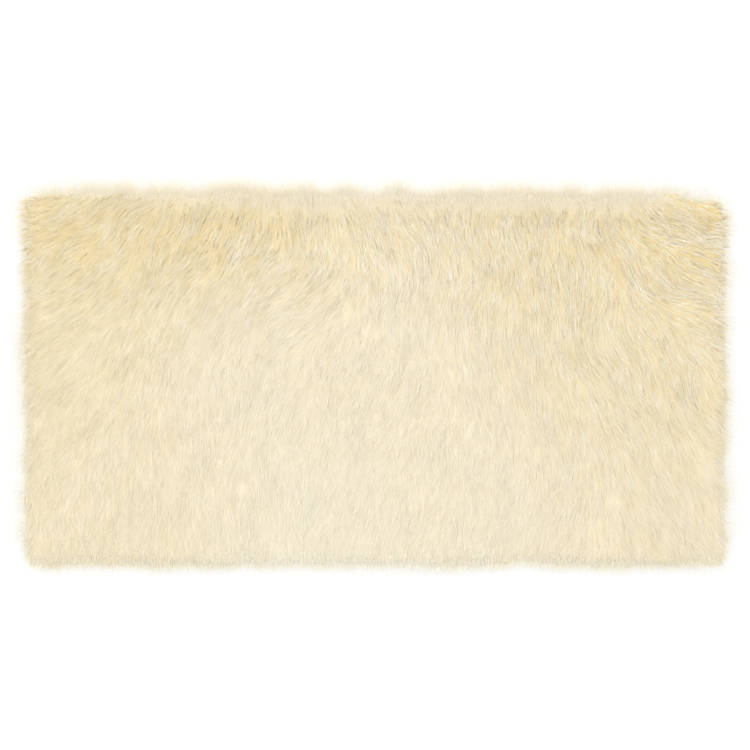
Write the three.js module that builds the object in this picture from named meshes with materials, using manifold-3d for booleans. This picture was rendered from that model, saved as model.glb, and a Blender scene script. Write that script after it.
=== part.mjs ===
// A faux sheepskin rug lying flat on the floor: one panel of long-pile cloth, about 80 x 150 cm.
// Millimetres, +Z up. X runs along the rug, Y across it, and the origin is on the floor under its middle.
// The panel is one lumpy slab. Its top follows the tufts that the combed pile makes, and its edge falls in
// a soft shoulder. The locks of hair at its rim droop over that edge and lie level on the floor.
import * as THREE from "three";
import { mergeGeometries, mergeVertices } from "three/addons/utils/BufferGeometryUtils.js";
import Module from "manifold-3d";

// Driving dimensions of the panel, its tufts and the locks at its rim, with turns in degrees
const rug = { length: 1484, width: 786, pileHeight: 30, edgeHeight: 19, shoulder: 48, cellSize: 22 };
const cornerRadius = { nearLeft: 20, farLeft: 28, nearRight: 26, farRight: 46 };
const edgeWave = { longDepth: 2, longPitch: 310, shortDepth: 1.5, shortPitch: 118 };
const wavePhase = { left: 0.7, right: 2.9, near: 4.2, far: 1.6 };
const farTaper = 4;
const tuft = { halfLength: 78, halfWidth: 34, low: 5, high: 8, tipLift: 0.45 };
const tuftGrid = { pitch: 64, wander: 27, turn: 12 };
const tuftShare = { middle: 0.45, along: 0.25, across: 0.5, least: 0.4 };
const lump = { pitch: 230, height: 2.4, skew: 0.5 };
const lock = { pitch: 17, shortReach: 10, longReach: 29, turn: 14, curl: 6 };
const lockSections = [
  { inside: -12, reachShare: 0, width: 13.8, bottom: 5, top: 20 },
  { inside: 3, reachShare: 0.2, width: 12, bottom: 0, top: 15 },
  { inside: 0, reachShare: 1, width: 0, bottom: 0, top: 0 },
];
const edgeOnly = 6; // the power that keeps the waves to the edge
const combPull = 0.6;
const combReach = 60;

// How the pile is combed: places as shares of the rug's half length and half width, and the heading
// of the hair there, in degrees anticlockwise from +X.
const combed = [
  { along: -0.92, across: 0.86, heading: -147 },
  { along: -0.55, across: 0.84, heading: -134 },
  { along: -0.28, across: 0.9, heading: -92 },
  { along: 0.0, across: 0.88, heading: -50 },
  { along: 0.34, across: 0.84, heading: -84 },
  { along: 0.68, across: 0.88, heading: -74 },
  { along: 0.93, across: 0.82, heading: -14 },
  { along: -0.94, across: 0.3, heading: -138 },
  { along: -0.6, across: 0.36, heading: -112 },
  { along: -0.22, across: 0.46, heading: -145 },
  { along: 0.16, across: 0.44, heading: -104 },
  { along: 0.56, across: 0.4, heading: -97 },
  { along: 0.93, across: 0.32, heading: -34 },
  { along: -0.93, across: -0.3, heading: -116 },
  { along: -0.5, across: -0.2, heading: -92 },
  { along: -0.06, across: -0.24, heading: -110 },
  { along: 0.4, across: 0.0, heading: -72 },
  { along: 0.7, across: -0.05, heading: -60 },
  { along: 0.94, across: -0.3, heading: -58 },
  { along: -0.9, across: -0.86, heading: -98 },
  { along: -0.45, across: -0.82, heading: -91 },
  { along: 0.05, across: -0.8, heading: -104 },
  { along: 0.5, across: -0.84, heading: -108 },
  { along: 0.92, across: -0.84, heading: -63 },
];

// The four straight sides, each with the corner that it starts from and the way that it runs
const sides = [
  { start: [-1, -1], run: [1, 0], out: [0, -1], length: rug.length },
  { start: [1, -1], run: [0, 1], out: [1, 0], length: rug.width },
  { start: [1, 1], run: [-1, 0], out: [0, 1], length: rug.length },
  { start: [-1, 1], run: [0, -1], out: [-1, 0], length: rug.width },
];

const halfLength = rug.length / 2;
const halfWidth = rug.width / 2;
const fullTurn = 2 * Math.PI;

// A number from 0 to 1 that is the same each time for the same seed.
function scatter(seed) {
  const value = Math.sin(seed * 12.9898 + 4.1414) * 43758.5453;
  return value - Math.floor(value);
}

// A number from minus the limit to the limit, the same each time for the same seed.
function spread(limit, seed) {
  return limit * (2 * scatter(seed) - 1);
}

// The way that the hair points at a place, blended from the combed places by their nearness.
function combAt(x, y) {
  const comb = new THREE.Vector2();
  for (const place of combed) {
    const apart = Math.hypot(x - place.along * halfLength, y - place.across * halfWidth);
    const nearness = 1 / (apart ** 2 + combReach ** 2) ** 1.5;
    const heading = THREE.MathUtils.degToRad(place.heading);
    comb.x += nearness * Math.cos(heading);
    comb.y += nearness * Math.sin(heading);
  }
  return comb.normalize();
}

// How far an edge wanders out at a distance along it.
function wander(distance, phase) {
  const long = Math.sin((fullTurn * distance) / edgeWave.longPitch + phase);
  const short = Math.sin((fullTurn * distance) / edgeWave.shortPitch + 3 * phase);
  return edgeWave.longDepth * long + edgeWave.shortDepth * short;
}

// The radius of the corner that a place is nearest to.
function radiusNear(x, y) {
  if (x < 0) return y < 0 ? cornerRadius.nearLeft : cornerRadius.farLeft;
  return y < 0 ? cornerRadius.nearRight : cornerRadius.farRight;
}

// Moves a place on the plain rectangle to its place on the real outline: the corners are rounded, the
// edges wander, and the far side comes in a little towards the right.
function outlined(x, y) {
  const radius = radiusNear(x, y);
  const intoX = (Math.abs(x) - halfLength + radius) / radius;
  const intoY = (Math.abs(y) - halfWidth + radius) / radius;
  const place = new THREE.Vector2(Math.abs(x), Math.abs(y));
  if (intoX > 0 && intoY > 0) {
    place.x = halfLength - radius + radius * intoX * Math.sqrt(1 - intoY ** 2 / 2);
    place.y = halfWidth - radius + radius * intoY * Math.sqrt(1 - intoX ** 2 / 2);
  }
  const endWave = wander(y, x < 0 ? wavePhase.left : wavePhase.right);
  const sideWave = wander(x, y < 0 ? wavePhase.near : wavePhase.far);
  const taper = y < 0 ? 0 : farTaper * (x / halfLength);
  place.x += (x / halfLength) ** edgeOnly * endWave;
  place.y += (y / halfWidth) ** edgeOnly * (sideWave - taper);
  return place.multiply(new THREE.Vector2(Math.sign(x), Math.sign(y)));
}

// The share of its height that a tuft has at a place. Tufts are lowest near the left end of the near
// side, where the hair lies closest.
function tuftShareAt(x, y) {
  const lean = (tuftShare.along * x) / halfLength + (tuftShare.across * y) / halfWidth;
  const share = THREE.MathUtils.clamp(tuftShare.middle + lean, 0, 1);
  return THREE.MathUtils.lerp(tuftShare.least, 1, share);
}

// The tuft that belongs to one cell of a loose grid: its middle, the way it points, and its height.
function tuftOf(column, row) {
  const seed = 131 * column + 17 * row;
  const x = tuftGrid.pitch * column + spread(tuftGrid.wander, seed);
  const y = tuftGrid.pitch * row + spread(tuftGrid.wander, seed + 0.3);
  const turn = THREE.MathUtils.degToRad(spread(tuftGrid.turn, seed + 0.6));
  const comb = combAt(x, y).rotateAround(new THREE.Vector2(), turn);
  const height = THREE.MathUtils.lerp(tuft.low, tuft.high, scatter(seed + 0.9));
  return { x, y, comb, height: height * tuftShareAt(x, y) };
}

const tuftColumns = Math.ceil(halfLength / tuftGrid.pitch) + 1;
const tuftRows = Math.ceil(halfWidth / tuftGrid.pitch) + 1;
const tufts = [];
for (let column = -tuftColumns; column <= tuftColumns; column += 1) {
  for (let row = -tuftRows; row <= tuftRows; row += 1) tufts.push(tuftOf(column, row));
}

// How far one tuft stands up at a place. It is a long mound, highest towards the tips of its hair.
function tuftRise(one, x, y) {
  const along = ((x - one.x) * one.comb.x + (y - one.y) * one.comb.y) / tuft.halfLength;
  const across = ((y - one.y) * one.comb.x - (x - one.x) * one.comb.y) / tuft.halfWidth;
  if (Math.abs(along) >= 1 || Math.abs(across) >= 1) return 0;
  return one.height * (1 - across ** 2) * (1 - along ** 2) * (1 + tuft.tipLift * along);
}

// The height of the pile's top: its tufts, broad lumps, and the shoulder where the edge falls away.
function pileTop(x, y) {
  const rise = Math.max(...tufts.map((one) => tuftRise(one, x, y)));
  const lumpAlong = Math.sin((fullTurn * (x + lump.skew * y)) / lump.pitch);
  const lumpAcross = Math.sin((fullTurn * (y - lump.skew * x)) / lump.pitch);
  const fullHeight = rug.pileHeight + rise + lump.height * lumpAlong * lumpAcross;
  const fromEdge = Math.min(halfLength - Math.abs(x), halfWidth - Math.abs(y), rug.shoulder);
  const fall = 1 - fromEdge / rug.shoulder;
  return rug.edgeHeight + (fullHeight - rug.edgeHeight) * Math.sqrt(1 - fall ** 2);
}

// Leaves a geometry with its vertices and faces alone, so that shared corners can be merged.
function bare(geometry) {
  geometry.deleteAttribute("normal");
  geometry.deleteAttribute("uv");
  return geometry;
}

// Places the vertices of a plane on the panel's outline, at the height of the pile's top.
function topGeometry(columns, rows) {
  const top = new THREE.PlaneGeometry(rug.length, rug.width, columns, rows);
  const position = top.attributes.position;
  for (let i = 0; i < position.count; i += 1) {
    const x = position.getX(i);
    const y = position.getY(i);
    const place = outlined(x, y);
    position.setXYZ(i, place.x, place.y, pileTop(x, y));
  }
  return top;
}

// The vertices round the top's edge, anticlockwise from above.
function edgeOf(top, columns, rows) {
  const along = [...Array(columns).keys()];
  const across = [...Array(rows).keys()];
  const vertex = (column, row) => new THREE.Vector3().fromBufferAttribute(
    top.attributes.position,
    row * (columns + 1) + column,
  );
  return [
    ...along.map((i) => vertex(i, rows)),
    ...across.map((i) => vertex(columns, rows - i)),
    ...along.map((i) => vertex(columns - i, 0)),
    ...across.map((i) => vertex(0, i)),
  ];
}

// The low wall from the top's edge down to the floor.
function wallGeometry(edge) {
  const corners = edge.flatMap((high, i) => {
    const nextHigh = edge[(i + 1) % edge.length];
    const low = high.clone().setZ(0);
    const nextLow = nextHigh.clone().setZ(0);
    return [low, nextLow, nextHigh, low, nextHigh, high];
  });
  const wall = new THREE.BufferGeometry().setFromPoints(corners);
  wall.setIndex([...corners.keys()]);
  return wall;
}

// The slab inside the rim's locks, flat underneath.
function slabGeometry() {
  const columns = Math.round(rug.length / rug.cellSize);
  const rows = Math.round(rug.width / rug.cellSize);
  const top = topGeometry(columns, rows);
  const edge = edgeOf(top, columns, rows);
  const underside = new THREE.ShapeGeometry(new THREE.Shape(edge));
  underside.index.array.reverse();
  return mergeGeometries([top, wallGeometry(edge), underside].map(bare));
}

// One lock of hair, a three-sided cone laid along its heading. Its root is inside the slab. Outside, its
// flat side lies on the floor, and its ridge falls in a curve from the slab's edge to the tip.
function lockGeometry(root, forward, reach, curl) {
  const cone = new THREE.ConeGeometry(1, 1, 3, 2);
  const position = cone.attributes.position;
  const sideways = new THREE.Vector2(forward.y, -forward.x);
  const cornerSide = Math.sin(fullTurn / 3);
  for (let i = 0; i < position.count; i += 1) {
    const ring = Math.round(2 * position.getY(i) + 1);
    const section = lockSections[ring];
    const radius = Math.max(1 - ring / 2, 1e-9);
    const side = (section.width / 2) * (position.getX(i) / radius / cornerSide);
    const rise = (section.top - section.bottom) * ((position.getZ(i) / radius + 0.5) / 1.5);
    const distance = section.inside + section.reachShare * reach;
    const place = root.clone().addScaledVector(forward, distance);
    place.addScaledVector(sideways, ring < 2 ? side : curl);
    position.setXYZ(i, place.x, place.y, ring < 2 ? section.bottom + rise : 0);
  }
  return cone;
}

// The locks of one side, evenly spaced, each with its own reach, heading and curl.
function locksOf(side, sideNumber) {
  const count = Math.round(side.length / lock.pitch);
  const locks = [];
  for (let i = 0; i < count; i += 1) {
    const seed = 1000 * sideNumber + 7 * i;
    const distance = ((i + 0.5) * side.length) / count;
    const x = side.start[0] * halfLength + side.run[0] * distance;
    const y = side.start[1] * halfWidth + side.run[1] * distance;
    const out = new THREE.Vector2(...side.out);
    const turn = THREE.MathUtils.degToRad(spread(lock.turn, seed));
    const forward = out.clone().addScaledVector(combAt(x, y), combPull).normalize();
    forward.rotateAround(new THREE.Vector2(), turn);
    const reach = THREE.MathUtils.lerp(lock.shortReach, lock.longReach, scatter(seed + 1));
    locks.push(lockGeometry(outlined(x, y), forward, reach, spread(lock.curl, seed + 2)));
  }
  return locks;
}

const wasm = await Module();
wasm.setup();

// A closed geometry as a solid that can be joined to others.
function solidOf(geometry) {
  const merged = mergeVertices(bare(geometry));
  const vertProperties = merged.attributes.position.array;
  const triVerts = new Uint32Array(merged.index.array);
  return new wasm.Manifold(new wasm.Mesh({ numProp: 3, vertProperties, triVerts }));
}

// A joined solid as one geometry, centred on the origin as seen from above.
function centredGeometry(solid) {
  const mesh = solid.getMesh();
  const geometry = new THREE.BufferGeometry();
  geometry.setAttribute("position", new THREE.BufferAttribute(mesh.vertProperties, 3));
  geometry.setIndex(new THREE.BufferAttribute(mesh.triVerts, 1));
  geometry.computeBoundingBox();
  const centre = geometry.boundingBox.getCenter(new THREE.Vector3());
  geometry.translate(-centre.x, -centre.y, 0);
  geometry.computeVertexNormals();
  return geometry;
}

const locks = sides.flatMap(locksOf).map(solidOf);
const rugSolid = locks.reduce((joined, one) => joined.add(one), solidOf(slabGeometry()));

const creamPile = new THREE.MeshStandardMaterial({ color: 0xf0e2c3, roughness: 0.95, metalness: 0 });
const furRug = new THREE.Mesh(centredGeometry(rugSolid), creamPile);
furRug.name = "fur_rug";

export default new THREE.Group().add(furRug);
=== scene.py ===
import math

import bmesh
import bpy
import numpy as np
from mathutils import Matrix, Vector, noise


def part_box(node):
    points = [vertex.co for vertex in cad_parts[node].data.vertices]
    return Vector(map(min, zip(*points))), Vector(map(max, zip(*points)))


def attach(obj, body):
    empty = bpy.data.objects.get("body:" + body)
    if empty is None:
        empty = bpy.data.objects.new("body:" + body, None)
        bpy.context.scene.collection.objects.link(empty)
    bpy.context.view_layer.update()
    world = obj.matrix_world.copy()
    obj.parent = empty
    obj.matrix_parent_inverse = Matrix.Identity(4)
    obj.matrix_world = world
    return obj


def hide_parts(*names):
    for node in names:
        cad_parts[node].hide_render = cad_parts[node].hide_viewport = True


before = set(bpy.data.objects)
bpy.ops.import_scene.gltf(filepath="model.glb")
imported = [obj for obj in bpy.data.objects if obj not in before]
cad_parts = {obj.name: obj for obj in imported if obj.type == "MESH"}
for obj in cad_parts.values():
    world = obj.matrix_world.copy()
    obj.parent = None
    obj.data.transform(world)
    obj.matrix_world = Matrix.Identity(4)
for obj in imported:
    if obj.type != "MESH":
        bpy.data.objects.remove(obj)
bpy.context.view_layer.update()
lowCorner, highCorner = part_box("fur_rug")      # corners of the solid rug, in metres

# The cut panel. Its dense pile ends where the solid's slab does, and its cloth is cut inside that.
panel = {
    "lockReach": 0.0295,                # how far the longest locks at the rim pass the dense pile
    "waveLong": (0.0020, 0.310),        # depth and pitch of the edge's long waves, then its short ones
    "waveShort": (0.0015, 0.118),
    "shortPhase": 3,                    # the short waves' phase, as a multiple of the long ones'
    "farTaper": 0.004,                  # how far the far side comes in towards the right
    "edgeOnly": 6,                      # the power that keeps the waves to the edge
    "fray": (0.006, 0.040),             # how far the pile strays at its edge, and over what length
    "partingReach": 0.006,              # the pile leans out this far where it is combed inwards
    "clothInset": 0.017,
    "clothThickness": 0.002,
    "clothStep": 0.018,
}
cornerRadius = {"nearLeft": 0.020, "farLeft": 0.028, "nearRight": 0.026, "farRight": 0.046}
wavePhase = {"left": 0.7, "right": 2.9, "near": 4.2, "far": 1.6}    # where each edge's waves start
halfLength = (highCorner.x - lowCorner.x) / 2 - panel["lockReach"]
halfWidth = (highCorner.y - lowCorner.y) / 2 - panel["lockReach"]

# How the top of the pile rises and falls
crest = {
    "pileHeight": 0.030,
    "edgeHeight": 0.019,
    "shoulder": 0.048,                  # width of the soft fall towards the edge
    "tuftPitch": 0.064,                 # tufts stand on a loose grid
    "tuftWander": 0.027,
    "tuftTurn": math.radians(12),
    "tuftHalf": (0.078, 0.034),         # half length and half width of a tuft
    "tuftRise": (0.005, 0.008),
    "tuftTipLift": 0.45,
    "tuftShare": {"middle": 0.45, "along": 0.25, "across": 0.50, "least": 0.40},
    "lumpPitch": 0.230,                 # broad low lumps under the tufts
    "lumpHeight": 0.0024,
    "lumpSkew": 0.5,
}

# How the pile is combed: places as shares of the half length and half width, and the heading of the
# hair there, in degrees anticlockwise from +X
combed = [
    {"along": -0.92, "across": 0.86, "heading": -147},
    {"along": -0.55, "across": 0.84, "heading": -134},
    {"along": -0.28, "across": 0.90, "heading": -92},
    {"along": 0.00, "across": 0.88, "heading": -50},
    {"along": 0.34, "across": 0.84, "heading": -84},
    {"along": 0.68, "across": 0.88, "heading": -74},
    {"along": 0.93, "across": 0.82, "heading": -14},
    {"along": -0.94, "across": 0.30, "heading": -138},
    {"along": -0.60, "across": 0.36, "heading": -112},
    {"along": -0.22, "across": 0.46, "heading": -145},
    {"along": 0.16, "across": 0.44, "heading": -104},
    {"along": 0.56, "across": 0.40, "heading": -97},
    {"along": 0.93, "across": 0.32, "heading": -34},
    {"along": -0.93, "across": -0.30, "heading": -116},
    {"along": -0.50, "across": -0.20, "heading": -92},
    {"along": -0.06, "across": -0.24, "heading": -110},
    {"along": 0.40, "across": 0.00, "heading": -72},
    {"along": 0.70, "across": -0.05, "heading": -60},
    {"along": 0.94, "across": -0.30, "heading": -58},
    {"along": -0.90, "across": -0.86, "heading": -98},
    {"along": -0.45, "across": -0.82, "heading": -91},
    {"along": 0.05, "across": -0.80, "heading": -104},
    {"along": 0.50, "across": -0.84, "heading": -108},
    {"along": 0.92, "across": -0.84, "heading": -63},
]
combing = {
    "reach": 0.060,                     # how far a combed place holds its own
    "waveSize": 0.085,                  # broad waves in the heading, and ripples on them
    "waveTurn": math.radians(47),
    "rippleSize": 0.030,
    "rippleTurn": math.radians(24),
    "leastTurn": 0.15,                  # the share of that turn which is left where the hair lies close
    "rimStart": 0.060,                  # hair that is combed outwards starts to turn this far inside
    "rimTurn": 0.5,                     # the edge, and has turned this share of the way at the edge
    "shorterFrom": 0.045,               # hair that is combed outwards gets shorter from here on
    "cornerReach": 0.046,               # how far round a corner the way out turns
    "reachWaves": {0.045: 0.5, 0.016: 0.4},     # size of the rim's uneven places, and their depth
    "endReach": 0.30,                   # how much longer the rim's hair is at the two ends
}

# Where the cream is deeper, to -2, or paler, to 1, and how much its locks stand apart there
deepest = -2
dressed = [
    {"along": -0.90, "across": 0.85, "tone": -1.00, "relief": 0.75},
    {"along": -0.45, "across": 0.80, "tone": -1.00, "relief": 0.95},
    {"along": 0.00, "across": 0.85, "tone": 0.35, "relief": 0.75},
    {"along": 0.45, "across": 0.80, "tone": -0.20, "relief": 0.80},
    {"along": 0.90, "across": 0.75, "tone": -0.30, "relief": 1.00},
    {"along": -0.90, "across": 0.10, "tone": -0.45, "relief": 0.30},
    {"along": -0.40, "across": 0.15, "tone": 0.50, "relief": 0.10},
    {"along": 0.10, "across": 0.20, "tone": 0.40, "relief": 0.10},
    {"along": 0.60, "across": 0.20, "tone": -0.15, "relief": 0.50},
    {"along": 0.92, "across": 0.05, "tone": -0.30, "relief": 0.60},
    {"along": -0.80, "across": -0.70, "tone": -0.20, "relief": 0.15},
    {"along": -0.15, "across": -0.70, "tone": 0.70, "relief": 0.12},
    {"along": 0.35, "across": -0.60, "tone": 0.45, "relief": 0.12},
    {"along": 0.85, "across": -0.60, "tone": 0.10, "relief": 0.30},
]
dressing = {
    "reach": 0.150,                     # how far a place holds its own
    "patchSize": 0.018,                 # small patches of deeper cream, and how deep they are where
    "patchTone": 1.6,                   # the locks stand apart
    "smoothRim": 0.026,                 # hair that is combed in from the edge lies closer this far,
    "smoothShare": 0.3,                 # by this share at the edge
    "endPaintedLight": 0.4,                     # painted light: added at the edge of the two ends, against the shade there
    "partingFrom": 0.065,               # such hair and its undercoat are darkened with painted shade, as they lie open to the light, from here to there
    "partingTo": 0.025,                 # from here to there
}

# The dense short hair under the guard hair, as one soft mass
undercoat = {
    "heightShare": 0.88,                # how much of the pile's height it fills
    "inset": 0.009,
    "shoulder": 0.034,
    "rimShare": 0.95,                   # how much of its height is left at the foot of the shoulder,
    "partingShare": 0.50,               # and how much where the hair is combed in from there
    "ragged": 0.003,                    # how far its edge strays in and out from point to point
    "step": 0.010,
}
rootInset = 0.007                       # the dense pile ends this far past the outermost roots
rimWidth = 0.026                        # the band along the edge that the rim's hair grows on

# The map of headings, heights and tones that the hair follows
fieldMargin = 0.060
fieldStep = 0.007

# Chance and noise
noiseLayer = {"waves": 0.5, "patches": 3.5, "reach": 5.5, "ripples": 7.5, "fray": 9.5}
scatterSteps = (12.9898, 4.1414, 43758.5453)    # these turn counted numbers into scattered ones
tuftSeed = {"column": 131, "row": 17, "wanderY": 0.3, "turn": 0.6, "height": 0.9}
blendPower = 1.5                        # how fast a marked place loses its pull as it gets further off
tiny = 1e-9                             # keeps a division by a length from failing


def scatter(seed):
    # numbers from 0 to 1, always the same ones for the same seeds
    step, start, stretch = scatterSteps
    value = np.sin(seed * step + start) * stretch
    return value - np.floor(value)


def spread(limit, seed):
    return limit * (2 * scatter(seed) - 1)


def smooth(share):
    share = np.clip(share, 0, 1)
    return share * share * (3 - 2 * share)


def wander(distance, phase):
    longDepth, longPitch = panel["waveLong"]
    shortDepth, shortPitch = panel["waveShort"]
    longWave = np.sin(math.tau * distance / longPitch + phase)
    shortWave = np.sin(math.tau * distance / shortPitch + panel["shortPhase"] * phase)
    return longDepth * longWave + shortDepth * shortWave


def endWave(x, y):
    return wander(y, np.where(x < 0, wavePhase["left"], wavePhase["right"]))


def sideWave(x, y):
    taper = np.where(y < 0, 0, panel["farTaper"] * x / halfLength)
    return wander(x, np.where(y < 0, wavePhase["near"], wavePhase["far"])) - taper


def radiusNear(x, y):
    left = np.where(y < 0, cornerRadius["nearLeft"], cornerRadius["farLeft"])
    right = np.where(y < 0, cornerRadius["nearRight"], cornerRadius["farRight"])
    return np.where(x < 0, left, right)


def insideEdge(x, y):
    # how far a place is inside the dense pile's outline, less than 0 outside it
    radius = radiusNear(x, y)
    overX = np.abs(x) - (halfLength + endWave(x, y) - radius)
    overY = np.abs(y) - (halfWidth + sideWave(x, y) - radius)
    outside = np.hypot(np.maximum(overX, 0), np.maximum(overY, 0))
    return radius - outside - np.minimum(np.maximum(overX, overY), 0)


def outwards(x, y):
    # the way out of the rug, which turns smoothly round its corners
    endPull = np.exp(-(halfLength - np.abs(x)) / combing["cornerReach"])
    sidePull = np.exp(-(halfWidth - np.abs(y)) / combing["cornerReach"])
    return unit(np.stack([np.sign(x) * endPull, np.sign(y) * sidePull], axis=-1))


def blended(x, y, places, reach, values):
    # values at scattered places, blended by how near each place is
    total = np.zeros((len(x), values.shape[1]))
    weights = np.zeros(len(x))
    for place, value in zip(places, values):
        apart = np.hypot(x - place["along"] * halfLength, y - place["across"] * halfWidth)
        weight = 1 / (apart ** 2 + reach ** 2) ** blendPower
        total += weight[:, None] * value
        weights += weight
    return total / weights[:, None]


def turned(way, angle):
    cos, sin = np.cos(angle), np.sin(angle)
    return np.stack([way[:, 0] * cos - way[:, 1] * sin, way[:, 0] * sin + way[:, 1] * cos], axis=-1)


def unit(way):
    return way / np.maximum(np.linalg.norm(way, axis=-1, keepdims=True), tiny)


def noiseAt(x, y, size, layer):
    return np.array([noise.noise(Vector((a / size, b / size, layer))) for a, b in zip(x, y)])


def combAt(x, y):
    headings = np.radians([place["heading"] for place in combed])
    values = np.stack([np.cos(headings), np.sin(headings)], axis=-1)
    return unit(blended(x, y, combed, combing["reach"], values))


def combedIn(x, y):
    return np.clip(-np.sum(combAt(x, y) * outwards(x, y), axis=-1), 0, 1)


def dressAt(x, y):
    # the tone and the relief at each place
    values = np.array([[place["tone"], place["relief"]] for place in dressed])
    tone, relief = blended(x, y, dressed, dressing["reach"], values).T
    nearRim = 1 - smooth(insideEdge(x, y) / dressing["smoothRim"])
    inwards = combedIn(x, y)
    relief = relief * (1 - dressing["smoothShare"] * nearRim * inwards)
    # painted light: the tone is paler at the edge of the two ends
    tone = tone + dressing["endPaintedLight"] * nearRim * (1 - inwards) * np.abs(outwards(x, y)[:, 0])
    patches = noiseAt(x, y, dressing["patchSize"], noiseLayer["patches"])
    return np.clip(tone + dressing["patchTone"] * relief * patches, deepest, 1), relief


def partingAt(x, y):
    # how much a place is where the hair parts, to be combed inwards
    depth = insideEdge(x, y) - dressing["partingTo"]
    return combedIn(x, y) * (1 - smooth(depth / (dressing["partingFrom"] - dressing["partingTo"])))


def tuftShare(x, y):
    # tufts are lowest near the left end of the near side, where the hair lies closest
    shares = crest["tuftShare"]
    share = shares["middle"] + shares["along"] * x / halfLength + shares["across"] * y / halfWidth
    return shares["least"] + (1 - shares["least"]) * np.clip(share, 0, 1)


def tuftRise(x, y):
    # the height that the tufts add: long mounds, highest towards the tips of their hair
    pitch = crest["tuftPitch"]
    columns = math.ceil(halfLength / pitch) + 1
    rows = math.ceil(halfWidth / pitch) + 1
    column, row = np.meshgrid(np.arange(-columns, columns + 1), np.arange(-rows, rows + 1))
    seed = (tuftSeed["column"] * column + tuftSeed["row"] * row).ravel()
    midX = pitch * column.ravel() + spread(crest["tuftWander"], seed)
    midY = pitch * row.ravel() + spread(crest["tuftWander"], seed + tuftSeed["wanderY"])
    ways = turned(combAt(midX, midY), spread(crest["tuftTurn"], seed + tuftSeed["turn"]))
    low, high = crest["tuftRise"]
    heights = low + (high - low) * scatter(seed + tuftSeed["height"])
    heights = heights * tuftShare(midX, midY)
    rise = np.zeros(len(x))
    for middleX, middleY, way, height in zip(midX, midY, ways, heights):
        along = ((x - middleX) * way[0] + (y - middleY) * way[1]) / crest["tuftHalf"][0]
        across = ((y - middleY) * way[0] - (x - middleX) * way[1]) / crest["tuftHalf"][1]
        mound = np.clip(1 - across ** 2, 0, 1) * np.clip(1 - along ** 2, 0, 1)
        rise = np.maximum(rise, height * mound * (1 + crest["tuftTipLift"] * along))
    return rise


def pileTop(x, y):
    skew = crest["lumpSkew"]
    lumpAlong = np.sin(math.tau * (x + skew * y) / crest["lumpPitch"])
    lumpAcross = np.sin(math.tau * (y - skew * x) / crest["lumpPitch"])
    full = crest["pileHeight"] + tuftRise(x, y) + crest["lumpHeight"] * lumpAlong * lumpAcross
    inside = insideEdge(x, y)
    fall = 1 - np.clip(inside / crest["shoulder"], 0, 1)
    within = crest["edgeHeight"] + (full - crest["edgeHeight"]) * np.sqrt(1 - fall ** 2)
    beyond = crest["edgeHeight"] * np.clip(1 + inside / panel["lockReach"], 0, 1)
    return np.where(inside > 0, within, beyond)


def bedTop(x, y):
    # the top of the dense undercoat, which falls in a round shoulder all round
    inside = (insideEdge(x, y) - undercoat["inset"]) / undercoat["shoulder"]
    dome = np.sqrt(1 - (1 - np.clip(inside, 0, 1)) ** 2)
    least = undercoat["rimShare"] + (undercoat["partingShare"] - undercoat["rimShare"]) * combedIn(x, y)
    share = least + (1 - least) * dome
    cloth = panel["clothThickness"]
    return cloth + (undercoat["heightShare"] * pileTop(x, y) - cloth) * share


def hairField():
    # a flat mesh, never shown, that holds the heading, height and tone of the hair at each place
    reachX = halfLength + fieldMargin
    reachY = halfWidth + fieldMargin
    columns = round(2 * reachX / fieldStep)
    rows = round(2 * reachY / fieldStep)
    field = gridMesh("hair_field", reachX, reachY, columns, rows)
    place = np.array([corner.co for corner in field.vertices])
    x, y = place[:, 0], place[:, 1]
    tone, relief = dressAt(x, y)
    turn = combing["waveTurn"] * noiseAt(x, y, combing["waveSize"], noiseLayer["waves"])
    turn += combing["rippleTurn"] * noiseAt(x, y, combing["rippleSize"], noiseLayer["ripples"])
    turn *= combing["leastTurn"] + (1 - combing["leastTurn"]) * relief
    comb = turned(combAt(x, y), turn)
    wayOut = outwards(x, y)
    inside = insideEdge(x, y)
    nearRim = 1 - smooth(inside / combing["rimStart"])
    combedOut = np.clip(np.sum(comb * wayOut, axis=-1), 0, 1)
    comb = unit(comb + (combing["rimTurn"] * nearRim * combedOut)[:, None] * (wayOut - comb))
    store(field, "comb", "FLOAT_VECTOR", np.column_stack([comb, np.zeros(len(x))]))
    store(field, "wayOut", "FLOAT_VECTOR", np.column_stack([wayOut, np.zeros(len(x))]))
    store(field, "edgeness", "FLOAT", combedOut * (1 - smooth(inside / combing["shorterFrom"])))
    layer = noiseLayer["reach"]
    uneven = [depth * noiseAt(x, y, size, layer) for size, depth in combing["reachWaves"].items()]
    longer = 1 + combing["endReach"] * np.abs(wayOut[:, 0])
    store(field, "reach", "FLOAT", longer * np.minimum(1 + sum(uneven), 1))
    store(field, "pileTop", "FLOAT", pileTop(x, y))
    store(field, "bedTop", "FLOAT", bedTop(x, y))
    store(field, "tone", "FLOAT", tone)
    store(field, "relief", "FLOAT", relief)
    store(field, "parting", "FLOAT", partingAt(x, y))
    return field


def gridMesh(name, reachX, reachY, columns, rows):
    xs = np.linspace(-reachX, reachX, columns + 1)
    ys = np.linspace(-reachY, reachY, rows + 1)
    corners = [(x, y, 0) for y in ys for x in xs]
    wide = columns + 1
    starts = [row * wide + column for row in range(rows) for column in range(columns)]
    faces = [(start, start + 1, start + wide + 1, start + wide) for start in starts]
    mesh = bpy.data.meshes.new(name)
    mesh.from_pydata(corners, [], faces)
    return mesh


def store(mesh, name, kind, values):
    attribute = mesh.attributes.new(name, kind, "POINT")
    attribute.data.foreach_set("vector" if kind == "FLOAT_VECTOR" else "value", values.ravel())


def addObject(name, mesh):
    piece = bpy.data.objects.new(name, mesh)
    bpy.context.scene.collection.objects.link(piece)
    return piece


# Materials

def addNode(tree, kind, values=(), **settings):
    node = tree.nodes.new(kind)
    for name, value in settings.items():
        setattr(node, name, value)
    for key, value in dict(values).items():
        if isinstance(value, bpy.types.NodeSocket):
            tree.links.new(value, node.inputs[key])
        else:
            node.inputs[key].default_value = value
    return node


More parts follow.
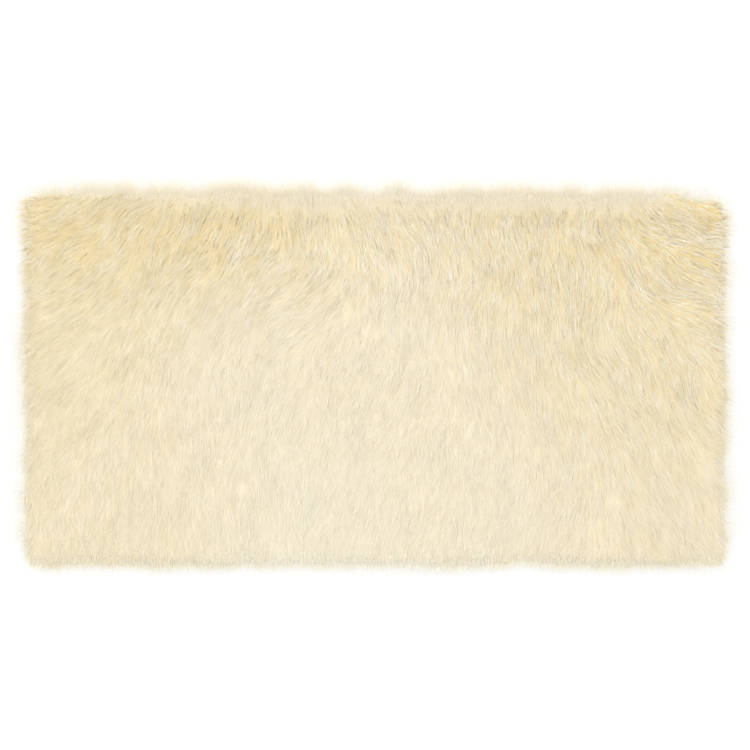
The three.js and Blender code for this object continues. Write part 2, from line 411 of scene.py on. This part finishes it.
def newMaterial(name, roughness, specular):
    material = bpy.data.materials.new(name)
    material.use_nodes = True
    shader = material.node_tree.nodes["Principled BSDF"]
    shader.inputs["Roughness"].default_value = roughness
    shader.inputs["Specular IOR Level"].default_value = specular
    return material, material.node_tree, shader


def readNumber(tree, name):
    return addNode(tree, "ShaderNodeAttribute", attribute_name=name).outputs["Fac"]


def mixedColour(tree, share, first, second, blend="MIX"):
    values = {0: share, 6: first, 7: second}
    return addNode(tree, "ShaderNodeMix", values, data_type="RGBA", blend_type=blend).outputs[2]


def addBump(tree, shader, height, strength, distance):
    values = {"Height": height, "Strength": strength, "Distance": distance}
    bump = addNode(tree, "ShaderNodeBump", values)
    tree.links.new(bump.outputs[0], shader.inputs["Normal"])


hairFinish = {
    # roots darker and yellower than the tips: partly the cream's own colour, partly painted shade deep
    # in the pile
    "rootColour": (0.805, 0.735, 0.54, 1),
    "midPlace": 0.5,                    # where along a lock it has its middle colour
    "midColour": (0.935, 0.90, 0.79, 1),
    "tipColour": (0.94, 0.93, 0.87, 1),
    "evenColour": (0.812, 0.771, 0.647, 1),  # where the hair lies close
    "deepTone": (0.89, 0.78, 0.50, 1),  # multiplies the colour where the cream is deep
    "lockShadeTint": (0.37, 0.29, 0.13, 1),  # painted shade: multiplies the colour of the deepest-shaded lock
    "roughness": 0.62,
    "specular": 0.25,
    "sheen": 0.15,
    "sheenRoughness": 0.5,
    "fibreScale": 1400,                 # fibres to a metre across a lock, and along it
    "fibreStretch": 60,
    "fibreDetail": 2,
    "fibreDepth": 0.25,
    "fibreHeight": 0.0004,
}
rimFinish = {                           # the loose hair at the edge is paler, painted light against the shade on the rim, and its tips are grey
    **hairFinish,
    "rootColour": (0.92, 0.865, 0.715, 1),
    "midColour": (0.955, 0.92, 0.835, 1),
    "tipColour": (0.76, 0.775, 0.76, 1),
    "deepTone": (0.97, 0.935, 0.82, 1),
}


def hairMaterial(name, finish):
    material, tree, shader = newMaterial(name, finish["roughness"], finish["specular"])
    ramp = addNode(tree, "ShaderNodeValToRGB", {"Fac": readNumber(tree, "pale")})
    ramp.color_ramp.elements[0].color = finish["rootColour"]
    ramp.color_ramp.elements[1].color = finish["tipColour"]
    ramp.color_ramp.elements.new(finish["midPlace"]).color = finish["midColour"]
    span = {"From Min": deepest, "From Max": 1, "To Min": 1, "To Max": 0}
    span["Value"] = readNumber(tree, "tone")
    deep = addNode(tree, "ShaderNodeMapRange", span).outputs[0]
    plain = mixedColour(tree, readNumber(tree, "even"), ramp.outputs[0], finish["evenColour"])
    cream = mixedColour(tree, deep, plain, finish["deepTone"], "MULTIPLY")
    # painted shade on the darker locks
    shaded = mixedColour(tree, readNumber(tree, "shade"), cream, finish["lockShadeTint"], "MULTIPLY")
    tree.links.new(shaded, shader.inputs["Base Color"])
    fibre = addNode(tree, "ShaderNodeAttribute", attribute_name="fibre").outputs["Vector"]
    values = {"Vector": fibre, "Scale": 1, "Detail": finish["fibreDetail"]}
    strands = addNode(tree, "ShaderNodeTexNoise", values)
    addBump(tree, shader, strands.outputs[0], finish["fibreDepth"], finish["fibreHeight"])
    shader.inputs["Sheen Weight"].default_value = finish["sheen"]
    shader.inputs["Sheen Roughness"].default_value = finish["sheenRoughness"]
    return material


undercoatFinish = {
    "colour": (0.85, 0.785, 0.65, 1),
    "deepShadeColour": (0.71, 0.55, 0.22, 1),        # painted shade: darker and yellower deep in the gaps where the locks stand apart
    "partingShadeColour": (0.635, 0.562, 0.415, 1),  # painted shade where the hair parts, to be combed inwards, and the undercoat lies open to the light
    "fuzzScale": 350,
    "fuzzDetail": 3,
    "fuzzDepth": 0.3,
    "fuzzHeight": 0.001,
    "roughness": 0.9,
    "specular": 0.1,
}


def undercoatMaterial():
    finish = undercoatFinish
    material, tree, shader = newMaterial("cream_undercoat", finish["roughness"], finish["specular"])
    # painted shade in the gaps between locks, and where the undercoat lies bare at the parting
    colour = mixedColour(tree, readNumber(tree, "relief"), finish["colour"], finish["deepShadeColour"])
    colour = mixedColour(tree, readNumber(tree, "parting"), colour, finish["partingShadeColour"])
    tree.links.new(colour, shader.inputs["Base Color"])
    place = addNode(tree, "ShaderNodeTexCoord").outputs["Object"]
    values = {"Vector": place, "Scale": finish["fuzzScale"], "Detail": finish["fuzzDetail"]}
    fuzz = addNode(tree, "ShaderNodeTexNoise", values)
    addBump(tree, shader, fuzz.outputs[0], finish["fuzzDepth"], finish["fuzzHeight"])
    return material


clothFinish = {
    "colour": (0.80, 0.74, 0.62, 1),
    "ribColour": (0.72, 0.65, 0.52, 1),
    "ribScale": 35,
    "ribDetail": 1,
    "ribWander": 0.4,
    "ribDepth": 0.4,
    "ribHeight": 0.0005,
    "roughness": 0.9,
    "specular": 0.2,
}


def clothMaterial():
    finish = clothFinish
    material, tree, shader = newMaterial("knitted_backing", finish["roughness"], finish["specular"])
    place = addNode(tree, "ShaderNodeTexCoord").outputs["Object"]
    ribs = {"Vector": place, "Scale": finish["ribScale"], "Detail": finish["ribDetail"]}
    ribs["Distortion"] = finish["ribWander"]
    rows = addNode(tree, "ShaderNodeTexWave", ribs, bands_direction="X").outputs[0]
    courses = addNode(tree, "ShaderNodeTexWave", ribs, bands_direction="Y").outputs[0]
    knit = addNode(tree, "ShaderNodeMath", {0: rows, 1: courses}, operation="MULTIPLY").outputs[0]
    colour = mixedColour(tree, knit, finish["ribColour"], finish["colour"])
    tree.links.new(colour, shader.inputs["Base Color"])
    addBump(tree, shader, knit, finish["ribDepth"], finish["ribHeight"])
    return material


# Base cloth and undercoat

def panelMesh(name, step, inset):
    # one flat panel with rounded corners, in squares of about the step's size
    reachX = halfLength - inset
    reachY = halfWidth - inset
    columns = round(2 * reachX / step)
    rows = round(2 * reachY / step)
    mesh = gridMesh(name, reachX, reachY, columns, rows)
    place = np.array([corner.co for corner in mesh.vertices])
    x, y = place[:, 0], place[:, 1]
    radius = radiusNear(x, y)
    intoX = np.clip((np.abs(x) - reachX + radius) / radius, 0, 1)
    intoY = np.clip((np.abs(y) - reachY + radius) / radius, 0, 1)
    place[:, 0] -= np.sign(x) * radius * intoX * (1 - np.sqrt(1 - intoY ** 2 / 2))
    place[:, 1] -= np.sign(y) * radius * intoY * (1 - np.sqrt(1 - intoX ** 2 / 2))
    strayDepth, strayLength = panel["fray"]
    leanOut = strayDepth * noiseAt(x, y, strayLength, noiseLayer["fray"])
    place[:, 0] += np.sign(x) * (np.abs(x) / reachX) ** panel["edgeOnly"] * (endWave(x, y) + leanOut)
    leanOut += panel["partingReach"] * combedIn(x, y)
    place[:, 1] += np.sign(y) * (np.abs(y) / reachY) ** panel["edgeOnly"] * (sideWave(x, y) + leanOut)
    mesh.vertices.foreach_set("co", place.ravel())
    mesh.update()
    return mesh


def undercoatMesh():
    # the panel's top raised to the undercoat's height, with a side all round and a flat underside
    body = bmesh.new()
    body.from_mesh(panelMesh("undercoat", undercoat["step"], undercoat["inset"]))
    place = np.array([corner.co for corner in body.verts])
    x, y = place[:, 0], place[:, 1]
    strays = spread(undercoat["ragged"], np.arange(len(x)))[:, None] * outwards(x, y)
    for corner, height, stray in zip(body.verts, bedTop(x, y), strays):
        corner.co.z = height
        if corner.is_boundary:
            corner.co.xy += Vector(stray)
    rim = [edge for edge in body.edges if edge.is_boundary]
    side = bmesh.ops.extrude_edge_only(body, edges=rim)["geom"]
    for corner in side:
        if isinstance(corner, bmesh.types.BMVert):
            corner.co.z = panel["clothThickness"]
    bmesh.ops.contextual_create(body, geom=[edge for edge in body.edges if edge.is_boundary])
    bmesh.ops.recalc_face_normals(body, faces=body.faces)
    for face in body.faces:
        face.smooth = len(face.verts) == 4
    mesh = bpy.data.meshes.new("undercoat")
    body.to_mesh(mesh)
    body.free()
    place = np.array([corner.co for corner in mesh.vertices])
    x, y = place[:, 0], place[:, 1]
    store(mesh, "relief", "FLOAT", dressAt(x, y)[1])
    store(mesh, "parting", "FLOAT", partingAt(x, y))
    return mesh


# Pile

pullSplit = 0.35                        # the share of a clump's pull that acts on its hair's lower half
leastHeight = 0.0003                    # hair never dips below this
level = (1.0, 1.0, 0.0)                 # times this, a place comes down to the floor
lockSides = 3
lockTurn = 0.6                          # how much of the stray turn is a lock's own
lockRoll = 0.6                          # how far a lock rolls about its own line, in radians
lockGirth = (0.35, 0.65)                # half a lock's width, as a share of the width
clumpSeed = 0                           # the same clumps for all layers
draw = {                                # one number for each draw by chance, to set them apart
    "clumpTurn": 11,
    "turn": 21,
    "length": 31,
    "rise": 41,
    "roll": 51,
    "shade": 61,
    "girth": 71,
    "start": 81,
    "clumpTone": 91,
}


def growPileTree():
    # grows hair on a surface: each lock is a closed spindle or cone, bent along the combing
    tree = bpy.data.node_groups.new("growPile", "GeometryNodeTree")

    def newInput(name, kind):
        tree.interface.new_socket(name, in_out="INPUT", socket_type="NodeSocket" + kind)

    newInput("Cloth", "Geometry")
    newInput("Field", "Object")
    newInput("Material", "Material")
    newInput("Seed", "Int")
    newInput("Straight", "Bool")
    for name in (
        "Locks per Square Metre", "Least Gap", "Inner Share", "Rim Share", "Parting Share", "Clump Gap",
        "Clump Pull", "Shortest", "Longest", "Mostly Short", "Edge Length", "Uneven Reach", "Lay",
        "Outward Share", "Stray Turn", "Clump Turn", "Lowest Root", "Highest Root", "Lowest Tip",
        "Highest Tip", "Width", "Flatness", "Taper", "Evenness", "Shade", "Mostly Even", "Clump Tone",
        "Parting Tone", "Parting Shade", "Parting Root Shade", "Parting Paleness", "Paleness",
    ):
        newInput(name, "Float")
    tree.interface.new_socket("Pile", in_out="OUTPUT", socket_type="NodeSocketGeometry")
    given = addNode(tree, "NodeGroupInput").outputs

    def maths(operation, *values, clamp=False):
        settings = {"operation": operation, "use_clamp": clamp}
        return addNode(tree, "ShaderNodeMath", enumerate(values), **settings).outputs[0]

    def vectors(operation, *values):
        return addNode(tree, "ShaderNodeVectorMath", enumerate(values), operation=operation).outputs[0]

    def scaled(vector, factor):
        values = {0: vector, "Scale": factor}
        return addNode(tree, "ShaderNodeVectorMath", values, operation="SCALE").outputs[0]

    def mixed(factor, first, second):
        values = {0: factor, 4: first, 5: second}
        return addNode(tree, "ShaderNodeMix", values, data_type="VECTOR").outputs[1]

    def between(factor, low, high):
        return addNode(tree, "ShaderNodeMix", {0: factor, 2: low, 3: high}).outputs[0]

    def turnedBy(vector, angle):
        values = {"Vector": vector, "Angle": angle}
        return addNode(tree, "ShaderNodeVectorRotate", values, rotation_type="Z_AXIS").outputs[0]

    def chance(low, high, identity, seed):
        values = {2: low, 3: high, 7: identity, 8: seed}
        return addNode(tree, "FunctionNodeRandomValue", values, data_type="FLOAT").outputs[1]

    def ofEachLock(low, high, name):
        return chance(low, high, index, maths("ADD", given["Seed"], draw[name]))

    def read(name, kind):
        values = {"Name": name}
        return addNode(tree, "GeometryNodeInputNamedAttribute", values, data_type=kind).outputs[0]

    def keep(geometry, name, kind, value):
        values = {"Geometry": geometry, "Name": name, "Value": value}
        settings = {"data_type": kind, "domain": "POINT"}
        return addNode(tree, "GeometryNodeStoreNamedAttribute", values, **settings).outputs[0]

    def evenPoints(gap, most, share, seed):
        # points no nearer to one another than the gap
        values = {"Mesh": given["Cloth"], "Distance Min": gap, "Density Max": most, "Seed": seed}
        values["Density Factor"] = share
        kind = "GeometryNodeDistributePointsOnFaces"
        return addNode(tree, kind, values, distribute_method="POISSON").outputs["Points"]

    fieldMesh = addNode(tree, "GeometryNodeObjectInfo", {"Object": given["Field"]}).outputs["Geometry"]

    def fieldAt(name, kind, place):
        values = {"Mesh": fieldMesh, "Value": read(name, kind), "Sample Position": place}
        return addNode(tree, "GeometryNodeSampleNearestSurface", values, data_type=kind).outputs[0]

    def wayAt(place):
        comb = fieldAt("comb", "FLOAT_VECTOR", place)
        wayOut = fieldAt("wayOut", "FLOAT_VECTOR", place)
        return vectors("NORMALIZE", mixed(given["Outward Share"], comb, wayOut))

    # roots, and the clump that each one belongs to
    share = maths("MULTIPLY", given["Rim Share"], read("rim", "FLOAT"))
    share = maths("ADD", maths("MULTIPLY", given["Parting Share"], read("rimParting", "FLOAT")), share)
    share = maths("ADD", given["Inner Share"], share, clamp=True)
    roots = evenPoints(given["Least Gap"], given["Locks per Square Metre"], share, given["Seed"])
    clumps = evenPoints(given["Clump Gap"], given["Locks per Square Metre"], 1.0, clumpSeed)
    root = addNode(tree, "GeometryNodeInputPosition").outputs[0]
    index = addNode(tree, "GeometryNodeInputIndex").outputs[0]
    nearest = {"Geometry": clumps, "Sample Position": root}
    clump = addNode(tree, "GeometryNodeSampleNearest", nearest).outputs[0]
    found = {"Geometry": clumps, "Value": root, "Index": clump}
    clumpRoot = addNode(tree, "GeometryNodeSampleIndex", found, data_type="FLOAT_VECTOR").outputs[0]
    fromClump = vectors("SUBTRACT", root, clumpRoot)

    # the hair is smoother where its locks lie close
    # painted shade in the tone where the hair parts at the rim
    parting = fieldAt("parting", "FLOAT", root)
    partingShadingTone = maths("MULTIPLY", parting, given["Parting Tone"])
    tone = maths("ADD", fieldAt("tone", "FLOAT", root), partingShadingTone)
    relief = fieldAt("relief", "FLOAT", root)
    rough = between(relief, maths("SUBTRACT", 1.0, given["Evenness"]), 1.0)

    # the line of a lock, seen from above, follows the combing in two steps
    clumpTurn = maths("MULTIPLY", given["Clump Turn"], chance(-1.0, 1.0, clump, draw["clumpTurn"]))
    turn = maths("ADD", clumpTurn, ofEachLock(-lockTurn, lockTurn, "turn"))
    turn = maths("MULTIPLY", maths("MULTIPLY", turn, given["Stray Turn"]), rough)
    short = maths("SUBTRACT", 1.0, given["Edge Length"])
    shortening = maths("MULTIPLY", fieldAt("edgeness", "FLOAT", root), short)
    pick = maths("POWER", ofEachLock(0.0, 1.0, "length"), given["Mostly Short"])
    whole = between(pick, given["Shortest"], given["Longest"])
    unevenness = between(given["Uneven Reach"], 1.0, fieldAt("reach", "FLOAT", root))
    whole = maths("MULTIPLY", whole, unevenness)
    length = maths("MULTIPLY", whole, maths("SUBTRACT", 1.0, shortening))
    step = maths("MULTIPLY", length, 0.5)
    firstPull = maths("MULTIPLY", given["Clump Pull"], pullSplit)
    secondPull = maths("MULTIPLY", given["Clump Pull"], 1 - pullSplit)
    firstWay = turnedBy(wayAt(clumpRoot), turn)
    bend = vectors("ADD", root, scaled(firstWay, step))
    bend = vectors("SUBTRACT", bend, scaled(fromClump, firstPull))
    secondWay = turnedBy(wayAt(bend), turn)
    tip = vectors("ADD", bend, scaled(secondWay, step))
    tip = vectors("SUBTRACT", tip, scaled(fromClump, secondPull))
    depth = ofEachLock(given["Lowest Root"], given["Highest Root"], "start")
    # a few locks darker at random: partly their own tone, partly painted shade for the dark gaps
    # between locks
    shade = maths("POWER", ofEachLock(0.0, 1.0, "shade"), given["Mostly Even"])
    shade = maths("MULTIPLY", maths("MULTIPLY", shade, given["Shade"]), rough)
    clumpTone = maths("MULTIPLY", chance(-1.0, 1.0, clump, draw["clumpTone"]), given["Clump Tone"])
    clumpTone = maths("MULTIPLY", clumpTone, rough)
    girth = maths("MULTIPLY", given["Width"], ofEachLock(*lockGirth, "girth"))
    points = keep(roots, "root", "FLOAT_VECTOR", root)
    points = keep(points, "bend", "FLOAT_VECTOR", bend)
    points = keep(points, "tip", "FLOAT_VECTOR", tip)
    points = keep(points, "start", "FLOAT", maths("MULTIPLY", fieldAt("bedTop", "FLOAT", root), depth))
    rise = ofEachLock(given["Lowest Tip"], given["Highest Tip"], "rise")
    points = keep(points, "rise", "FLOAT", rise)
    points = keep(points, "roll", "FLOAT", ofEachLock(-lockRoll, lockRoll, "roll"))
    points = keep(points, "girth", "FLOAT", girth)
    points = keep(points, "rough", "FLOAT", rough)
    # painted shade where the hair parts at the rim: over the whole lock, more at its root, and less
    # pale towards its tip
    partingShade = maths("MULTIPLY", parting, given["Parting Shade"])
    points = keep(points, "shade", "FLOAT", maths("ADD", shade, partingShade))
    points = keep(points, "rootShade", "FLOAT", maths("MULTIPLY", parting, given["Parting Root Shade"]))
    points = keep(points, "palest", "FLOAT", between(parting, 1.0, given["Parting Paleness"]))
    points = keep(points, "tone", "FLOAT", maths("ADD", tone, clumpTone))

    # one plain spindle or cone of three sides stands at each root before it is bent
    sizes = {"Segments": lockSides, "Rings": 2, "Radius": 1.0}
    spindle = addNode(tree, "GeometryNodeMeshUVSphere", sizes).outputs[0]
    height = addNode(tree, "ShaderNodeSeparateXYZ", {0: root}).outputs[2]
    turnUp = maths("MAXIMUM", maths("MINIMUM", maths("MULTIPLY", height, -1.0), 1.0), -1.0)
    spindle = keep(spindle, "along", "FLOAT", maths("DIVIDE", maths("ARCCOSINE", turnUp), math.pi))
    sizes = {"Vertices": lockSides, "Radius Top": 0.0, "Radius Bottom": 1.0, "Depth": 1.0}
    cone = addNode(tree, "GeometryNodeMeshCone", sizes).outputs[0]
    cone = keep(cone, "along", "FLOAT", height)
    shapes = {"Switch": given["Straight"], "False": spindle, "True": cone}
    shape = addNode(tree, "GeometryNodeSwitch", shapes, input_type="GEOMETRY").outputs[0]
    ring = vectors("NORMALIZE", vectors("MULTIPLY", root, level))
    shape = keep(shape, "ring", "FLOAT_VECTOR", ring)
    placed = {"Points": points, "Instance": shape}
    copies = addNode(tree, "GeometryNodeInstanceOnPoints", placed).outputs[0]
    hair = addNode(tree, "GeometryNodeRealizeInstances", {"Geometry": copies}).outputs[0]

    # each corner moves to its place on the bent lock, at the height of the pile there
    along = read("along", "FLOAT")
    near = mixed(along, read("root", "FLOAT_VECTOR"), read("bend", "FLOAT_VECTOR"))
    far = mixed(along, read("bend", "FLOAT_VECTOR"), read("tip", "FLOAT_VECTOR"))
    line = mixed(along, near, far)
    heading = vectors("NORMALIZE", vectors("SUBTRACT", far, near))
    sideways = turnedBy(heading, math.pi / 2)
    flatLine = vectors("MULTIPLY", line, level)
    top = fieldAt("pileTop", "FLOAT", flatLine)
    left = maths("SUBTRACT", 1.0, along)
    lift = maths("SUBTRACT", 1.0, maths("POWER", left, given["Lay"]))
    width = maths("MULTIPLY", read("girth", "FLOAT"), maths("POWER", left, given["Taper"]))
    rolled = turnedBy(read("ring", "FLOAT_VECTOR"), read("roll", "FLOAT"))
    around = addNode(tree, "ShaderNodeSeparateXYZ", {0: rolled}).outputs
    side = maths("MULTIPLY", around[0], width)
    flatness = maths("MULTIPLY", given["Flatness"], read("rough", "FLOAT"))
    up = maths("MULTIPLY", maths("MULTIPLY", around[1], width), flatness)
    start = maths("MAXIMUM", read("start", "FLOAT"), panel["clothThickness"])
    end = maths("MULTIPLY", top, read("rise", "FLOAT"))
    raised = maths("MAXIMUM", maths("ADD", between(lift, start, end), up), leastHeight)
    upwards = addNode(tree, "ShaderNodeCombineXYZ", {"Z": raised}).outputs[0]
    place = vectors("ADD", vectors("ADD", flatLine, scaled(sideways, side)), upwards)
    fibre = addNode(tree, "ShaderNodeCombineXYZ", {
        "X": maths("MULTIPLY", side, hairFinish["fibreScale"]),
        "Y": maths("MULTIPLY", maths("MULTIPLY", along, given["Longest"]), hairFinish["fibreStretch"]),
        "Z": maths("MULTIPLY", read("roll", "FLOAT"), hairFinish["fibreStretch"]),
    }).outputs[0]
    hair = keep(hair, "fibre", "FLOAT_VECTOR", fibre)
    pale = maths("MULTIPLY", along, read("palest", "FLOAT"))
    hair = keep(hair, "pale", "FLOAT", maths("MAXIMUM", pale, given["Paleness"]))
    # painted shade at the root where the hair parts
    rootShade = maths("MULTIPLY", read("rootShade", "FLOAT"), maths("MULTIPLY", left, left))
    shade = maths("ADD", read("shade", "FLOAT"), rootShade)
    hair = keep(hair, "shade", "FLOAT", shade)
    hair = keep(hair, "even", "FLOAT", maths("SUBTRACT", 1.0, read("rough", "FLOAT")))
    hair = addNode(tree, "GeometryNodeSetPosition", {"Geometry": hair, "Position": place}).outputs[0]
    for name in (
        "root", "bend", "tip", "start", "rise", "rough", "roll", "girth", "ring", "along", "rootShade",
        "palest", "rim", "rimParting", "id",
    ):
        hair = addNode(tree, "GeometryNodeRemoveAttribute", {"Geometry": hair, "Name": name}).outputs[0]
    dyed = {"Geometry": hair, "Material": given["Material"]}
    hair = addNode(tree, "GeometryNodeSetMaterial", dyed).outputs[0]
    addNode(tree, "NodeGroupOutput", {"Pile": hair})
    return tree


# The pile in layers. Each is one piece.
guardHair = {
    "Locks per Square Metre": 140000.0,     # before those nearer to another than the least gap go
    "Least Gap": 0.0044,
    "Inner Share": 1.0,                 # how much of that grows inside the rim, and how much more
    "Rim Share": 0.0,                   # grows on the rim
    "Parting Share": -0.5,              # fewer of the outermost locks where they are combed inwards
    "Clump Gap": 0.0036,
    "Clump Pull": 0.5,                  # how far a lock's tip comes over to the middle of its clump
    "Shortest": 0.030,
    "Longest": 0.050,
    "Mostly Short": 1.0,                # a power: past 1, more of the locks are short
    "Edge Length": 0.6,                 # the share of its length that hair combed outwards keeps
    "Uneven Reach": 0.0,                # how much of the rim's unevenness its length takes on
    "Lay": 2.2,                         # a power: past 1, locks rise soon from the root
    "Outward Share": 0.0,               # how far the hair turns straight out of the rug
    "Stray Turn": math.radians(9),
    "Clump Turn": 0.85,                 # how much of the stray turn is its clump's
    "Lowest Root": 0.8,                 # shares of the undercoat's height
    "Highest Root": 0.9,
    "Lowest Tip": 0.90,                 # shares of the pile's height
    "Highest Tip": 1.02,
    "Width": 0.0012,
    "Flatness": 0.6,                    # a lock's height as a share of its width
    "Taper": 0.3,                       # a power: 1 is a plain point
    "Evenness": 0.85,                   # how smooth the hair is where its locks lie close
    "Shade": 1.0,
    "Mostly Even": 7.0,                 # a power: past 1, fewer of the locks are deep in shade
    "Clump Tone": 0.6,
    "Parting Tone": 0.0,                # painted shade in the tone where the hair parts at the rim, to be combed inwards
    # painted shade there, over the whole lock and at its root
    "Parting Shade": 0.05,
    "Parting Root Shade": 0.32,
    "Parting Paleness": 1.0,            # how pale the tips are there; below 1 this is painted shade too
    "Paleness": 0.0,                    # the least paleness of the whole lock
    "Straight": False,                  # True makes each lock a cone, False a spindle
}
rimHair = {
    **guardHair,
    "Locks per Square Metre": 830000.0,
    "Least Gap": 0.0002,
    "Inner Share": 0.0,
    "Rim Share": 1.0,
    "Parting Share": 0.0,
    "Clump Pull": 0.3,
    "Shortest": 0.014,
    "Longest": 0.055,
    "Mostly Short": 2.0,
    "Edge Length": 1.0,
    "Uneven Reach": 1.0,
    "Lay": 1.5,
    "Outward Share": 0.9,
    "Stray Turn": math.radians(50),
    "Clump Turn": 0.25,
    "Lowest Root": 0.85,
    "Highest Root": 1.05,
    "Lowest Tip": 0.3,
    "Width": 0.0006,
    "Flatness": 0.15,
    "Taper": 1.0,
    "Evenness": 0.0,
    "Shade": 0.25,
    "Clump Tone": 0.0,
    "Parting Tone": -1.3,
    "Parting Shade": 0.0,
    "Parting Root Shade": 0.19,
    "Parting Paleness": 0.6,
    # the rim's roots lie open, so they are kept paler, without the pile's painted shade
    "Paleness": 0.4,
    "Straight": True,
}
layers = {
    "guard_hair_1": {**guardHair, "Seed": 2},
    "guard_hair_2": {**guardHair, "Seed": 3},
    "guard_hair_3": {**guardHair, "Seed": 4},
    "guard_hair_4": {**guardHair, "Seed": 5},
    "rim_hair": {**rimHair, "Seed": 6},
}


def growLayer(name, settings, rootBed, tree, field, material):
    bed = addObject(name + "_bed", rootBed)
    grow = bed.modifiers.new("grow", "NODES")
    grow.node_group = tree
    for item in tree.interface.items_tree:
        if item.in_out == "INPUT" and item.name in settings:
            grow[item.identifier] = settings[item.name]
        elif item.name == "Field":
            grow[item.identifier] = field
        elif item.name == "Material":
            grow[item.identifier] = material
    bpy.context.view_layer.update()
    evaluated = bed.evaluated_get(bpy.context.evaluated_depsgraph_get())
    mesh = bpy.data.meshes.new_from_object(evaluated)
    mesh.name = name
    bpy.data.objects.remove(bed)
    layer = addObject(name, mesh)
    print(name, len(mesh.polygons), "faces")
    return layer


# Studio: a white floor, soft light, and a camera straight above

white = (1, 1, 1, 1)
studio = {
    "floorHalf": 4.0,
    "floorDrop": 0.0006,                # so that the rug's flat underside doesn't touch it
    "floorColour": (0.30, 0.30, 0.30, 1),
    "floorGlow": 0.625,                 # with the light that falls on it, this makes it just white
    "floorRoughness": 0.8,
    "floorSpecular": 0.1,
    "skyStrength": 1.31,
    "keyPlace": (-0.6, 0.7, 2.8),
    "keySize": 2.2,
    "keyPower": 10,
}
shot = {
    "lens": 85,
    "sensor": 36,
    "width": 1.585,                     # how much of the floor the picture spans, in metres
    "middle": (0.0, 0.0070),            # the rug sits a little low in the picture
}


def makeStudio():
    floor = addObject("floor", gridMesh("floor", studio["floorHalf"], studio["floorHalf"], 1, 1))
    floor.data.transform(Matrix.Translation((0, 0, -studio["floorDrop"])))
    roughness, specular = studio["floorRoughness"], studio["floorSpecular"]
    material, _, shader = newMaterial("white_floor", roughness, specular)
    shader.inputs["Base Color"].default_value = studio["floorColour"]
    shader.inputs["Emission Color"].default_value = white
    shader.inputs["Emission Strength"].default_value = studio["floorGlow"]
    floor.data.materials.append(material)
    world = bpy.data.worlds.new("studio")
    world.use_nodes = True
    sky = world.node_tree.nodes["Background"]
    sky.inputs["Color"].default_value = white
    sky.inputs["Strength"].default_value = studio["skyStrength"]
    bpy.context.scene.world = world
    key = bpy.data.lights.new("key", "AREA")
    key.energy = studio["keyPower"]
    key.size = studio["keySize"]
    lamp = bpy.data.objects.new("key", key)
    lamp.location = studio["keyPlace"]
    lamp.rotation_euler = (-Vector(studio["keyPlace"])).to_track_quat("-Z", "Y").to_euler()
    bpy.context.scene.collection.objects.link(lamp)
    bpy.context.scene.view_settings.view_transform = "Standard"


def makeCamera():
    camera = bpy.data.cameras.new("above")
    camera.lens = shot["lens"]
    camera.sensor_width = shot["sensor"]
    eye = bpy.data.objects.new("above", camera)
    distance = shot["width"] * shot["lens"] / shot["sensor"]
    eye.location = (*shot["middle"], crest["pileHeight"] + distance)
    bpy.context.scene.collection.objects.link(eye)
    bpy.context.scene.camera = eye


makeCamera()
makeStudio()
print("studio ready")

fieldObject = addObject("hair_field", hairField())
print("combing mapped")

cloth = addObject("base_cloth", panelMesh("base_cloth", panel["clothStep"], panel["clothInset"]))
thickness = cloth.modifiers.new("thickness", "SOLIDIFY")
thickness.thickness = panel["clothThickness"]
thickness.offset = 1
cloth.data.materials.append(clothMaterial())
print("base cloth cut")

rootBed = panelMesh("root_bed", undercoat["step"], rootInset)
place = np.array([corner.co for corner in rootBed.vertices])
x, y = place[:, 0], place[:, 1]
rim = 1 - smooth((insideEdge(x, y) - rootInset) / rimWidth)
store(rootBed, "rim", "FLOAT", rim)
store(rootBed, "rimParting", "FLOAT", rim * combedIn(x, y))
fur = hairMaterial("cream_faux_fur", hairFinish)
looseFur = hairMaterial("rim_fur_painted_light", rimFinish)
growPile = growPileTree()
mass = addObject("undercoat", undercoatMesh())
mass.data.materials.append(undercoatMaterial())
print("undercoat raised")

pile = [mass]
for name, settings in layers.items():
    material = looseFur if name == "rim_hair" else fur
    pile.append(growLayer(name, settings, rootBed, growPile, fieldObject, material))
bpy.data.objects.remove(fieldObject)

for layer in pile:
    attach(layer, "root")
    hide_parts("fur_rug")
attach(cloth, "root")
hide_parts("fur_rug")
print("rug dressed")
